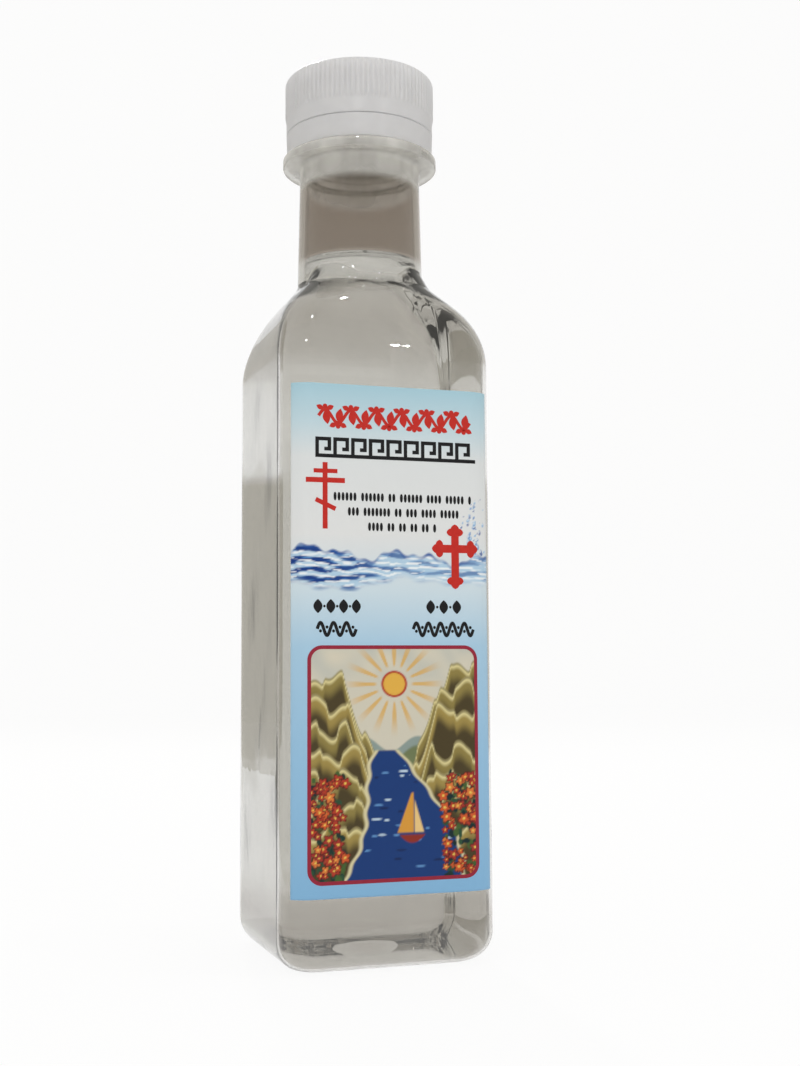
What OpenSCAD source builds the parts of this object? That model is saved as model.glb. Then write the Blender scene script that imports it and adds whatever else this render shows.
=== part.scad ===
// Clear square bottle of water with a screw cap, a tamper band and a front label.
// Millimetres. Origin at the middle of the standing face, +Z up, the label faces -Y.

/* [Body] */
// Width of the square body across flats
body_side = 44; // [40:0.5:52]
// Radius of the upright corners
corner_r = 6; // [3:0.25:8]
// Height at which the flat sides start to round into the shoulder
shoulder_z = 119.5; // [114:0.5:124]
// Radius of the vaulted shoulder
shoulder_r = 23.5; // [18:0.25:26]
// How much the corners' radius grows for each millimetre that the shoulder draws in
ridge_soften = 0.9; // [0:0.05:1]
// Radius of the rounded bottom edge
base_r = 6; // [2:0.25:7]
// Wall thickness of the blown body
wall = 0.6; // [0.3:0.05:1]
// Radius of the hollow under the base
dome_r = 15; // [8:0.5:16]
// Height of the hollow under the base
dome_h = 2.5; // [1:0.1:5]

/* [Neck] */
// Outer diameter of the neck under the carrying ring
neck_d = 25.6; // [24:0.1:27]
// Outer diameter of the neck where it grows out of the shoulder
neck_foot_d = 27; // [26:0.1:30]
// Height of the underside of the carrying ring
ring_z = 165; // [158:0.5:180]
// Outer diameter of the carrying ring
ring_d = 33; // [31.5:0.1:38]
// Thickness of the carrying ring
ring_h = 2; // [1:0.1:2.4]
// Height of the neck finish from the underside of the ring to the mouth
finish_h = 17.2; // [16.5:0.1:21]
// Diameter of the mouth
bore_d = 22; // [16:0.1:22.6]

/* [Thread] */
// Rise of the thread in one turn
lead = 2.7; // [2.5:0.05:3]
// Turns of thread on the neck and in the cap
thread_turns = 1.75; // [1.25:0.05:1.9]
// Height of the thread above its root
thread_h = 1.3; // [0.8:0.05:1.4]
// Width of the thread at its root
thread_root_w = 1.3; // [0.9:0.05:1.35]
// Width of the thread at its crest
thread_crest_w = 0.7; // [0.4:0.05:0.9]
// Depth of the thread's start below the mouth
thread_drop = 1.8; // [1.5:0.05:2.4]
// Free space between the moving neck and cap faces
thread_gap = 0.35; // [0.2:0.05:0.5]

/* [Cap] */
// Outer diameter of the cap over its ribs
cap_d = 32; // [31.4:0.1:36]
// Thickness of the cap's top
cap_top = 1.5; // [1:0.1:3]
// Radius of the cap's top edge
cap_edge_r = 1; // [0.4:0.1:1.2]
// How far the cap's skirt reaches down below the mouth
skirt_h = 9.8; // [9:0.1:10.2]
// Number of ribs round the cap
ribs = 90; // [30:1:120]
// Depth of the grooves between the ribs
rib_depth = 0.25; // [0.1:0.05:0.4]
// Length of the ribbed part, measured down from the top
rib_len = 8.4; // [4:0.1:9.5]
// Thickness of the sealing liner
liner_h = 0.5; // [0.3:0.05:1]

/* [Tamper band] */
// Outer diameter of the band at its upper edge
band_d = 31.5; // [31:0.1:36]
// Outer diameter of the band at its lower edge
band_foot_d = 31.2; // [31:0.1:36]
// Free space between the band and the carrying ring
band_gap = 0.35; // [0.2:0.05:0.8]
// Break line between the cap and the band
break_gap = 0.25; // [0.15:0.05:0.4]
// Number of bridges across the break line
bridges = 12; // [6:1:24]
// Width of one bridge
bridge_w = 0.8; // [0.4:0.1:1.2]
// How far the bead on the neck stands out from the neck
bead_out = 1.4; // [1:0.05:1.5]
// Height of the bead on the neck
bead_h = 1.6; // [1:0.1:2]
// Height of the band's inner lip that catches under the bead
lip_h = 1.4; // [0.8:0.1:1.6]

/* [Contents] */
// Height of the water's surface
fill_z = 144; // [60:0.5:152]
// Free space between the water and the wall
fill_gap = 0.05; // [0.02:0.01:0.2]

/* [Label] */
// Distance of the label's left edge from the bottle's left side
label_left = 1.7; // [0.5:0.1:10]
// Distance of the label's right edge from the bottle's right side
label_right = 1.7; // [0.5:0.1:10]
// Height of the label's lower edge
label_z = 14.5; // [8:0.5:20]
// Height of the label
label_h = 99; // [40:0.5:102]
// Thickness of the label
label_t = 0.1; // [0.05:0.01:0.3]
// Thickness of the glue under the label
glue_t = 0.02; // [0.01:0.01:0.1]

/* [Hidden] */
$fn = 96;
// Overlap that joins neighbouring solids of one piece
bed = 0.15;
// How far a cut reaches past the face it opens
cut = 1;
neck_r = neck_d / 2;
neck_foot_r = neck_foot_d / 2;
mouth_z = ring_z + finish_h;
// Height at which the shoulder meets the neck
shoulder_top = shoulder_z + sqrt(pow(shoulder_r, 2) - pow(shoulder_r - body_side / 2 + neck_foot_r, 2));
// Ridges of the shoulder: steps along the arch, the angle at which they end and their smallest radius
ridge_steps = 12;
ridge_end = 88;
ridge_tip = 1;
// Largest share of the shoulder's half width that the corners' radius takes
ridge_limit = 0.95;
// How far the shoulder reaches up inside the neck
neck_bed = 2;
// Neck: flared foot, blend under the carrying ring, and the ring's bevelled rim
neck_foot_z = shoulder_top - 1;
neck_flare_h = 6;
neck_flare = 0.2;
ring_fillet = 1;
ring_bevel = 0.5;
lip_bevel = 0.5;
// Neck finish heights and radii
crest_r = neck_r + thread_h;
thread_rise = lead * thread_turns;
thread_z = mouth_z - thread_drop - thread_rise;
thread_steps = 36;
lead_in = 40;
bead_r = neck_r + bead_out;
// Cap and band heights and radii
liner_z = mouth_z;
cap_under_z = liner_z + liner_h;
cap_top_z = cap_under_z + cap_top;
cap_z = mouth_z - skirt_h;
cap_r = cap_d / 2;
edge_mid = cap_edge_r / 3;
cap_bore_r = crest_r + thread_gap;
band_z = ring_z + ring_h + band_gap;
band_top_z = cap_z - break_gap;
band_bore_r = bead_r + thread_gap;
lip_up = 0.6;
lip_r = neck_r + 2 * thread_gap;
lip_z = band_z + lip_up;
bead_gap = 0.25;
bead_z = lip_z + lip_h + bead_gap;
// The bridges stop just short of the cap
bridge_gap = 0.05;
bridge_h = break_gap - bridge_gap;
bridge_t = 0.6;

// Square with rounded corners, across flats
module rounded_square(side, r) {
  square([side - 2 * r, side], center = true);
  square([side, side - 2 * r], center = true);
  for (x = [-1, 1], y = [-1, 1])
    translate([x * (side / 2 - r), y * (side / 2 - r)])
      circle(r);
}

// Everything to the left of the shoulder's right-hand arch
module arch_side(half, spring, arch) {
  translate([half - arch, spring])
    circle(arch);
  translate([-2 * half, spring - arch])
    square([3 * half - arch, 2 * arch]);
}

// Side view of the body: rounded bottom edge, flat sides, arched shoulder
module side_view(half, foot, edge, spring, arch) {
  translate([-half, foot + edge])
    square([2 * half, spring - foot - edge]);
  translate([edge - half, foot])
    square([2 * (half - edge), edge + bed]);
  for (x = [-1, 1])
    translate([x * (half - edge), foot + edge])
      circle(edge);
  intersection() {
    arch_side(half, spring, arch);
    mirror([1, 0])
      arch_side(half, spring, arch);
    translate([-2 * half, spring])
      square([4 * half, arch]);
  }
}

// Rounds the four ridges of the vaulted shoulder: distance of a ridge from the axis, angle by angle
function ridge_radius(half, r, arch, a) =
  let (
    drawn = arch * (1 - cos(a)),
    corner = min(r + ridge_soften * drawn, ridge_limit * (half - drawn)))
  sqrt(2) * (half - drawn) - (sqrt(2) - 1) * corner;

// Square body with its vaulted shoulder, drawn in by the given inset
module body_form(inset, foot) {
  half = body_side / 2 - inset;
  r = corner_r - inset;
  edge = base_r - inset;
  arch = shoulder_r - inset;
  intersection() {
    translate([0, 0, foot])
      linear_extrude(shoulder_top + neck_bed - inset - foot)
        rounded_square(2 * half, r);
    rotate([90, 0, 0])
      linear_extrude(2 * body_side, center = true)
        side_view(half, foot, edge, shoulder_z, arch);
    rotate([90, 0, 90])
      linear_extrude(2 * body_side, center = true)
        side_view(half, foot, edge, shoulder_z, arch);
    rotate_extrude()
      polygon(concat(
        [[0, foot], [body_side, foot], [body_side, shoulder_z]],
        [for (i = [0 : ridge_steps])
          let (a = ridge_end * i / ridge_steps)
          [max(ridge_radius(half, r, arch, a), ridge_tip), shoulder_z + arch * sin(a)]],
        [[0, shoulder_z + arch]]));
  }
}

// Neck from inside the shoulder up to the mouth, with the carrying ring and the tamper bead
module neck_form() {
  rotate_extrude()
    polygon([
      [0, shoulder_z], [neck_foot_r, shoulder_z], [neck_foot_r, neck_foot_z],
      [neck_r + neck_flare, neck_foot_z + neck_flare_h], [neck_r, ring_z - ring_fillet],
      [neck_r + ring_fillet, ring_z], [ring_d / 2 - ring_bevel, ring_z],
      [ring_d / 2, ring_z + ring_h / 2], [ring_d / 2 - ring_bevel, ring_z + ring_h],
      [neck_r, ring_z + ring_h],
      [neck_r, bead_z], [bead_r, bead_z], [bead_r, bead_z + bead_h / 2], [neck_r, bead_z + bead_h],
      [neck_r, mouth_z - lip_bevel], [neck_r - lip_bevel, mouth_z], [0, mouth_z]]);
}

// Bore of the neck, which blowing leaves as thick as it was moulded, drawn in by the given inset
module neck_space(inset, top) {
  translate([0, 0, shoulder_z])
    cylinder(r = bore_d / 2 - inset, h = top - shoulder_z);
}

// Bulge of the hollow base, grown by the given amount
module base_dome(grow) {
  ball = (dome_r * dome_r + dome_h * dome_h) / (2 * dome_h);
  translate([0, 0, dome_h - ball])
    sphere(ball + grow);
}

// Space inside the bottle, drawn in from the outside by the given inset
module inside(inset, top) {
  difference() {
    union() {
      body_form(wall + inset, wall + inset);
      neck_space(inset, top);
    }
    base_dome(wall + inset);
  }
}

// Share of the thread's full height at angle a: it fades in and out over the lead-in at both ends
function thread_fade(a, last) = min(1, min(a + 1, last - a + 1) / lead_in);

// Helical thread that grows from the root radius towards the crest radius
module thread(root, crest, z) {
  last = 360 * thread_turns;
  count = ceil(thread_steps * thread_turns);
  side = crest > root ? 1 : -1;
  rings = [for (i = [0 : count])
    let (
      a = last * i / count,
      f = thread_fade(a, last),
      low = root - side * bed,
      high = root + (crest - root) * f,
      h = z + lead * a / 360,
      profile = [
        [low, h - thread_root_w / 2],
        [high, h - thread_crest_w / 2],
        [high, h + thread_crest_w / 2],
        [low, h + thread_root_w / 2]])
    [for (p = profile) [p[0] * cos(a), p[0] * sin(a), p[1]]]];
  points = [for (ring = rings, p = ring) p];
  sides = [for (i = [0 : count - 1], k = [0 : 3])
    let (m = (k + 1) % 4)
    [4 * i + k, 4 * i + m, 4 * i + 4 + m, 4 * i + 4 + k]];
  flat = [for (q = sides) each [[q[0], q[1], q[2]], [q[0], q[2], q[3]]]];
  tail = 4 * count;
  ends = [
    [0, 2, 1], [0, 3, 2],
    [tail, tail + 1, tail + 2], [tail, tail + 2, tail + 3]];
  faces = concat(flat, ends);
  polyhedron(points, side > 0 ? faces : [for (f = faces) [f[2], f[1], f[0]]]);
}

module bottle() {
  color([0.86, 0.88, 0.88, 0.4])
    difference() {
      union() {
        body_form(0, 0);
        neck_form();
        thread(neck_r, crest_r, thread_z);
      }
      inside(0, mouth_z + cut);
      base_dome(0);
    }
}

module holy_water() {
  color([0.8, 0.88, 0.92, 0.5])
    intersection() {
      inside(fill_gap, mouth_z);
      translate([0, 0, fill_z / 2])
        cube([2 * body_side, 2 * body_side, fill_z], center = true);
    }
}

module screw_cap() {
  groove_r = 2 * rib_depth;
  color([0.88, 0.88, 0.87])
    union() {
      difference() {
        rotate_extrude()
          polygon([
            [0, cap_z], [cap_r - rib_depth, cap_z], [cap_r - rib_depth, cap_top_z - rib_len],
            [cap_r, cap_top_z - rib_len + rib_depth], [cap_r, cap_top_z - cap_edge_r],
            [cap_r - edge_mid, cap_top_z - edge_mid], [cap_r - cap_edge_r, cap_top_z],
            [0, cap_top_z]]);
        translate([0, 0, cap_z - cut])
          cylinder(r = cap_bore_r, h = cap_under_z - cap_z + cut);
        for (i = [0 : ribs - 1])
          rotate([0, 0, 360 * i / ribs])
            translate([cap_r - rib_depth + groove_r, 0, cap_top_z - rib_len])
              cylinder(r = groove_r, h = rib_len - cap_edge_r);
      }
      thread(cap_bore_r, neck_r + thread_gap, thread_z - lead / 2);
    }
}

module cap_liner() {
  color([0.95, 0.95, 0.93])
    translate([0, 0, liner_z])
      cylinder(r = cap_bore_r - thread_gap, h = liner_h);
}

module tamper_band() {
  color([0.86, 0.86, 0.85]) {
    rotate_extrude()
      polygon([
        [band_bore_r, band_z], [band_foot_d / 2, band_z],
        [band_d / 2, band_top_z], [band_bore_r, band_top_z],
        [band_bore_r, lip_z + lip_h], [lip_r, lip_z + lip_h], [band_bore_r, lip_z]]);
    for (i = [0 : bridges - 1])
      rotate([0, 0, 360 * i / bridges])
        translate([band_bore_r + bridge_t, 0, band_top_z + (bridge_h - bed) / 2])
          cube([bridge_t, bridge_w, bridge_h + bed], center = true);
  }
}

module front_label() {
  back = body_side / 2 + glue_t;
  reach = back + 2 * label_t;
  color([0.78, 0.88, 0.93])
    translate([0, 0, label_z])
      linear_extrude(label_h)
        intersection() {
          difference() {
            rounded_square(2 * (back + label_t), corner_r + glue_t + label_t);
            rounded_square(2 * back, corner_r + glue_t);
          }
          translate([label_left - body_side / 2, -reach])
            square([body_side - label_left - label_right, reach]);
        }
}

bottle();
holy_water();
screw_cap();
cap_liner();
tamper_band();
front_label();
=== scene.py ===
"""Looks of a clear square water bottle with a screw cap, a tamper band and a printed front label.

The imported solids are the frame. Each operator makes one piece as a surface worked out on a grid of two
parameters, in metres, and rides it on the body that carries it.
"""

import bpy
import numpy as np
from bpy.props import FloatProperty, FloatVectorProperty, IntProperty, PointerProperty
from mathutils import Matrix, Vector


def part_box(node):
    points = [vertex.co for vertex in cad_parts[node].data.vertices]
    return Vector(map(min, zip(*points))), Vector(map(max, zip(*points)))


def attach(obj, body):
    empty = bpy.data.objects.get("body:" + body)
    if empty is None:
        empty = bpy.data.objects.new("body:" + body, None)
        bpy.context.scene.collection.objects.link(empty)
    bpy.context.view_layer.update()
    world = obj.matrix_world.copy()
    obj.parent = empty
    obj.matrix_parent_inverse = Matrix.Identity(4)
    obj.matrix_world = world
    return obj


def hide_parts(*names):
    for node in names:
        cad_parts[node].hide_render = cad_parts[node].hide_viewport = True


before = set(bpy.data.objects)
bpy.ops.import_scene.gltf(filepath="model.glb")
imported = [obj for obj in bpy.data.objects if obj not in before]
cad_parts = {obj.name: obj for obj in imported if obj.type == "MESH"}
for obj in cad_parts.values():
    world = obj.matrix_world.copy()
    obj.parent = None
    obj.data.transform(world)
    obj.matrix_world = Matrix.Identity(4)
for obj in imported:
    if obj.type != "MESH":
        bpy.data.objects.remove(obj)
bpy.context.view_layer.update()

bl_info = {
    "name": "Square water bottle",
    "version": (1, 0, 0),
    "blender": (4, 5, 0),
    "location": "3D View > Sidebar > Bottle",
    "description": "Dresses the solids of a filled square bottle with its real surfaces and finishes",
    "category": "Object",
}

MM = 0.001
BOTTLE_LOW, BOTTLE_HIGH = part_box("bottle")
WATER_LOW, WATER_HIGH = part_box("holy_water")
CAP_LOW, CAP_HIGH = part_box("screw_cap")
BAND_LOW, BAND_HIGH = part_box("tamper_band")
LABEL_LOW, LABEL_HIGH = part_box("front_label")
QUARTER = np.pi / 2
# Height in millimetres that a colour ramp up the bottle spans
RAMP_SPAN = 200
# Radius of the small rounded edges of the neck finish
NECK_EDGE = 0.5 * MM
# How far the water climbs at the wall, and over what distance from the wall it falls off
MENISCUS, MENISCUS_REACH = 0.7 * MM, 0.9 * MM
TURN = 2 * np.pi


def length(name, description, default):
    """A length property in metres."""
    return FloatProperty(name=name, description=description, default=default, unit="LENGTH", precision=5)


def colour(name, description, hexes):
    """A colour property, written as an sRGB hex value."""
    return FloatVectorProperty(name=name, description=description, default=linear(hexes)[:3], size=3,
                               subtype="COLOR", min=0, max=1)


def linear(hexes):
    """Linear RGBA of an sRGB hex value: each channel through the sRGB curve."""
    parts = np.array([int(hexes[i:i + 2], 16) / 255 for i in (1, 3, 5)])
    low, high = parts / 12.92, ((parts + 0.055) / 1.055) ** 2.4
    return (*np.where(parts <= 0.04045, low, high).tolist(), 1.0)


class BottleSizes(bpy.types.PropertyGroup):
    """Sizes of the blown bottle"""

    side: length("Side", "Width of the body across flats", BOTTLE_HIGH.x - BOTTLE_LOW.x)
    corner: length("Corner radius", "Radius of the upright corners", 6 * MM)
    soften: FloatProperty(name="Ridge softening", default=0.9,
                          description="Growth of the corner radius as the shoulder draws in")
    foot_edge: length("Foot edge", "Radius of the rounded bottom edge", 6 * MM)
    foot_corner: length("Foot corner", "Radius of the corners of the standing face", 3.4 * MM)
    dome: length("Hollow radius", "Radius of the hollow under the base", 15 * MM)
    dome_height: length("Hollow height", "Height of the hollow under the base", 2.5 * MM)
    shoulder: length("Shoulder height", "Height where the sides start to round in", 119.5 * MM)
    arch: length("Shoulder radius", "Radius of the vaulted shoulder", 23.5 * MM)
    wall: length("Wall", "Thickness of the blown wall", 0.6 * MM)
    neck_wall: length("Neck wall", "Thickness of the neck's wall, which is stretched less", 1.3 * MM)
    neck_foot: length("Neck foot radius", "Radius of the neck where it leaves the shoulder", 13.4 * MM)
    neck: length("Neck radius", "Radius of the neck under the ring", 12.8 * MM)
    face_blend: length("Face fillet", "Width of the neck's fillet over a side", 2.0 * MM)
    ridge_blend: length("Ridge fillet", "Width of the neck's fillet over a ridge", 8.0 * MM)
    ring: length("Ring radius", "Radius of the carrying ring", 16.5 * MM)
    ring_z: length("Ring height", "Height of the ring's underside", 165 * MM)
    ring_thick: length("Ring thickness", "Thickness of the carrying ring", 2 * MM)
    bore: length("Mouth radius", "Radius of the mouth", 11 * MM)
    mouth: length("Mouth height", "Height of the mouth", BOTTLE_HIGH.z)
    bead_z: length("Bead height", "Height of the tamper bead's underside", 169.6 * MM)
    bead_tall: length("Bead thickness", "Height of the tamper bead", 1.6 * MM)
    bead: length("Bead radius", "Radius of the tamper bead", 14.2 * MM)


class ThreadSizes(bpy.types.PropertyGroup):
    """Sizes of the screw thread on the neck and in the cap"""

    lead: length("Lead", "Rise of the thread in one turn", 2.7 * MM)
    turns: FloatProperty(name="Turns", description="Turns of thread", default=1.75)
    start: length("Start", "Height of the neck thread's lower end", 175.675 * MM)
    deep: length("Depth", "Height of the thread above its root", 1.3 * MM)
    root: length("Root width", "Width of the thread at its root", 1.3 * MM)
    crest: length("Crest width", "Width of the thread at its crest", 0.7 * MM)
    gap: length("Gap", "Free space between cap and neck", 0.35 * MM)


class CapSizes(bpy.types.PropertyGroup):
    """Sizes of the screw cap and its tamper band"""

    ribs: IntProperty(name="Ribs", description="Number of ribs round the cap", default=90)
    rib_depth: length("Rib depth", "Depth of the grooves between the ribs", 0.25 * MM)
    rib_end: length("Rib end", "Height at which the ribs run out", 175.8 * MM)
    edge: length("Top edge", "Radius of the cap's top edge", 1.1 * MM)
    top: length("Top thickness", "Thickness of the cap's top", 1.5 * MM)
    bore: length("Cap bore", "Inner radius of the cap's skirt", 14.45 * MM)
    band_top: length("Band top", "Height of the band's upper edge", 172.15 * MM)
    band_bore: length("Band bore", "Inner radius of the band", 14.55 * MM)
    lip: length("Band lip", "Inner radius of the lip that catches under the bead", 13.5 * MM)
    lip_z: length("Lip height", "Height of the lip's lower edge", 167.95 * MM)
    lip_tall: length("Lip thickness", "Height of the lip", 1.4 * MM)
    bridges: IntProperty(name="Bridges", description="Bridges across the break line", default=12)


class LabelSizes(bpy.types.PropertyGroup):
    """Sizes of the label and its print"""

    grain: length("Print step", "Spacing of the printed points", 0.225 * MM)
    paper: length("Paper", "Thickness of the label paper", 0.06 * MM)
    glue: length("Glue", "Thickness of the glue under the paper", 0.02 * MM)
    ink: length("Ink", "Height of the printed face above the paper", 0.005 * MM)
    relief: length("Relief", "Height of the solid inks above the paper", 0.02 * MM)


class Finishes(bpy.types.PropertyGroup):
    """Colours of the finishes"""

    # The PET and water tints are partly painted shade: their grey darkens what shows through the bottle, as
    # grey surroundings would
    pet: colour("PET", "Tint of the blown plastic", "#E6E5E2")
    # The neck colour is painted shade: the PET takes it only at the foot, the shoulder and the empty neck,
    # for the shadow under the bottle and dark surroundings seen in the plastic
    neck: colour("Neck PET", "Tint of the thicker plastic of the neck", "#BBB4AC")
    water: colour("Water", "Tint of the water", "#EEEEEB")
    cap: colour("Cap", "Natural polypropylene", "#F4F4F6")
    liner: colour("Liner", "Foam of the sealing liner", "#F2F1EC")
    paper: colour("Paper", "Back of the label paper", "#F1F1EE")
    red: colour("Red ink", "Ink of the crosses", "#C4281F")
    crimson: colour("Crimson ink", "Ink of the picture's frame", "#97243A")
    black: colour("Black ink", "Ink of the ornament rows", "#101014")
    floor: colour("Floor", "Pale studio floor and backdrop", "#F4F4F3")


class ViewSizes(bpy.types.PropertyGroup):
    """The camera's place, from the photograph's viewing angle"""

    azimuth: FloatProperty(name="Azimuth", description="Angle of the view round the bottle",
                           default=np.radians(-18.446), subtype="ANGLE")
    elevation: FloatProperty(name="Elevation", description="Angle of the view above the level",
                             default=np.radians(-5.548), subtype="ANGLE")
    roll: FloatProperty(name="Roll", description="Turn of the camera about its line of sight",
                        default=np.radians(-0.349), subtype="ANGLE")
    distance: length("Distance", "From the camera to the point it looks at", 306.85 * MM)
    aim_x: length("Aim sideways", "Point that the camera looks at, sideways", 8.735 * MM)
    aim_z: length("Aim height", "Point that the camera looks at, height", 86.677 * MM)
    focal: FloatProperty(name="Focal length", default=48.622,
                         description="Focal length in millimetres on a 36 mm tall picture")


def add_node(tree, kind, values=(), links=(), **settings):
    """Adds one shader node, with its settings, its socket values and its incoming links."""
    node = tree.nodes.new(kind)
    for key, value in settings.items():
        setattr(node, key, value)
    for key, value in dict(values).items():
        node.inputs[key].default_value = value
    for key, socket in dict(links).items():
        tree.links.new(socket, node.inputs[key])
    return node


def new_material(name):
    """An empty node material, its tree, and the output's surface socket."""
    material = bpy.data.materials.new(name)
    material.use_nodes = True
    tree = material.node_tree
    tree.nodes.clear()
    return material, tree, add_node(tree, "ShaderNodeOutputMaterial").inputs["Surface"]


def maths(tree, operation, *values, clamp=False):
    """One Math node. Each value is a number, set on it, or a socket, linked to it. Returns its output."""
    node = add_node(tree, "ShaderNodeMath", operation=operation, use_clamp=clamp)
    for socket, value in zip(node.inputs, values):
        if isinstance(value, bpy.types.NodeSocket):
            tree.links.new(value, socket)
        else:
            socket.default_value = value
    return node.outputs[0]


def object_place(tree):
    """Place on the object, in metres."""
    return add_node(tree, "ShaderNodeTexCoord").outputs["Object"]


def noise(tree, place, size, detail=2.0):
    """Noise whose features are about size across. Returns its value."""
    node = add_node(tree, "ShaderNodeTexNoise", {"Scale": 1 / size, "Detail": detail}, {"Vector": place})
    return node.outputs["Fac"]


def bump(tree, height, strength, distance):
    """A bump of the given height field. Returns its normal."""
    node = add_node(tree, "ShaderNodeBump", {"Strength": strength, "Distance": distance}, {"Height": height})
    return node.outputs["Normal"]


def ramp(tree, share, stops):
    """A colour ramp through (position, RGBA) stops in rising order. Returns its colour."""
    node = add_node(tree, "ShaderNodeValToRGB", links={"Fac": share})
    elements = node.color_ramp.elements
    elements[0].position, elements[0].color = stops[0]
    elements[1].position, elements[1].color = stops[-1]
    for position, rgba in stops[1:-1]:
        elements.new(position).color = rgba
    return node.outputs["Color"]


def by_height(tree, place, stops):
    """A colour that changes up the bottle, through (height in millimetres, RGBA) stops in rising order."""
    height = add_node(tree, "ShaderNodeSeparateXYZ", links={"Vector": place}).outputs["Z"]
    share = maths(tree, "DIVIDE", height, RAMP_SPAN * MM)
    return ramp(tree, share, [(level / RAMP_SPAN, rgba) for level, rgba in stops])


def mix_shaders(tree, share, first, second):
    """Lays the second shader over the first. The share is a socket or a number. Returns the mixture."""
    linked = isinstance(share, bpy.types.NodeSocket)
    node = add_node(tree, "ShaderNodeMixShader", {} if linked else {0: share}, {1: first, 2: second})
    if linked:
        tree.links.new(share, node.inputs[0])
    return node.outputs["Shader"]


def principled(tree, values, links):
    """A Principled shader, with its constants set on its own sockets. Returns its output."""
    return add_node(tree, "ShaderNodeBsdfPrincipled", values, links).outputs["BSDF"]


def opaque(rgb):
    """A colour with full alpha."""
    return (*rgb, 1.0)


def mesh_object(name, points, quads, triangles, material, smooth=True):
    """Puts arrays of points (n, 3), quads (m, 4) and triangles (k, 3) into a new object at the origin."""
    mesh = bpy.data.meshes.new(name)
    mesh.vertices.add(len(points))
    mesh.vertices.foreach_set("co", np.ascontiguousarray(points, np.float32).ravel())
    corners = np.concatenate([quads.ravel(), triangles.ravel()]).astype(np.int32)
    sizes = np.concatenate([np.full(len(quads), 4), np.full(len(triangles), 3)]).astype(np.int32)
    mesh.loops.add(len(corners))
    mesh.loops.foreach_set("vertex_index", corners)
    mesh.polygons.add(len(sizes))
    mesh.polygons.foreach_set("loop_start", np.concatenate([[0], np.cumsum(sizes)[:-1]]).astype(np.int32))
    mesh.update(calc_edges=True)
    mesh.validate()
    mesh.polygons.foreach_set("use_smooth", np.full(len(sizes), smooth))
    mesh.materials.append(material)
    piece = bpy.data.objects.new(name, mesh)
    bpy.context.scene.collection.objects.link(piece)
    return piece


def grid_quads(rows, columns, loop_rows=False, loop_columns=False):
    """Corner numbers of the quads of a grid of rows and columns, closed round where asked."""
    i = np.arange(rows if loop_rows else rows - 1)[:, None]
    j = np.arange(columns if loop_columns else columns - 1)[None, :]
    down, right = (i + 1) % rows, (j + 1) % columns
    corners = [i * columns + j, i * columns + right, down * columns + right, down * columns + j]
    return np.stack(np.broadcast_arrays(*corners), -1).reshape(-1, 4)


def turned_surface(name, radius, height, angles, material, poles=None):
    """Carries a profile round the Z axis.

    Point (i, j) is at radius[i, j] and height[i] in direction angles[j]. With poles, the first and last rings
    close on the axis at those two heights. Without, the last ring joins the first."""
    rows, columns = radius.shape
    points = np.stack([radius * np.cos(angles), radius * np.sin(angles),
                       np.broadcast_to(height[:, None], radius.shape)], -1).reshape(-1, 3)
    quads = grid_quads(rows, columns, loop_rows=poles is None, loop_columns=True)
    triangles = np.zeros((0, 3), int)
    if poles is not None:
        points = np.concatenate([points, [[0, 0, poles[0]], [0, 0, poles[1]]]])
        j = np.arange(columns)
        right = (j + 1) % columns
        last = (rows - 1) * columns
        foot = np.stack([np.full(columns, rows * columns), right, j], -1)
        head = np.stack([last + j, last + right, np.full(columns, rows * columns + 1)], -1)
        triangles = np.concatenate([foot, head])
    return mesh_object(name, points, quads, triangles, material)


def line(start, stop, steps):
    """Points of a straight stretch of a profile, without its last point."""
    share = np.linspace(0, 1, steps, endpoint=False)[:, None]
    return np.array(start) + (np.array(stop) - np.array(start)) * share


def arc(centre, radius, start, stop, steps):
    """Points of a round stretch of a profile, from one angle to another, without its last point."""
    angle = np.linspace(start, stop, steps, endpoint=False)
    return np.array(centre) + radius * np.stack([np.cos(angle), np.sin(angle)], -1)


def smoothstep(low, high, value):
    """0 below low, 1 above high, and the cubic 3t^2 - 2t^3 between."""
    t = np.clip((value - low) / (high - low), 0, 1)
    return t * t * (3 - 2 * t)


def smooth_max(a, b, width):
    """The larger of a and b, with a fillet where they differ by less than width.

    The fillet is max(a, b) + (width - |a - b|)^2 / (4 width)."""
    near = np.maximum(width - np.abs(a - b), 0)
    return np.maximum(a, b) + near * near / (4 * width)


def rounded_square(angles, half, corner):
    """Distance from the axis to a square with rounded corners, in each direction.

    By symmetry the direction is folded to d = (large, small). It meets the flat side at half / large, or,
    past the start of the corner, the circle of radius corner about c = (half - corner)(1, 1)."""
    along, across = np.abs(np.cos(angles)), np.abs(np.sin(angles))
    large, small = np.maximum(along, across), np.minimum(along, across)
    flat = half / large
    middle = half - corner
    reach = middle * (large + small)
    bend = reach + np.sqrt(np.maximum(reach ** 2 - 2 * middle ** 2 + corner ** 2, 0))
    return np.where(flat * small <= middle, flat, bend)


def side_angles(sizes, per_side=28, per_corner=18):
    """Directions round the bottle, closer together at the upright corners."""
    turn = np.arctan2(sizes.side / 2 - sizes.corner, sizes.side / 2)
    quarter = np.concatenate([np.linspace(-turn, turn, per_side, endpoint=False),
                              np.linspace(turn, QUARTER - turn, per_corner, endpoint=False)])
    return (quarter[None, :] + QUARTER * np.arange(4)[:, None]).ravel()


def thread_relief(angles, heights, sizes, start):
    """Height of a helical thread above its root at each height and direction.

    The thread's middle climbs by lead each turn. Across, it is a trapezoid from root to crest width, and it
    fades in and out over its first and last 40 degrees."""
    relief = np.zeros((len(heights), len(angles)))
    around = np.mod(angles, TURN)[None, :]
    for turn in range(int(np.ceil(sizes.turns)) + 1):
        swept = around + TURN * turn
        off = np.abs(heights[:, None] - start - sizes.lead * swept / TURN)
        across = np.clip((sizes.root / 2 - off) / ((sizes.root - sizes.crest) / 2), 0, 1)
        fade = np.clip(np.minimum(swept, TURN * sizes.turns - swept) / np.radians(40), 0, 1)
        relief = np.maximum(relief, across * fade * sizes.deep)
    return relief


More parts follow.
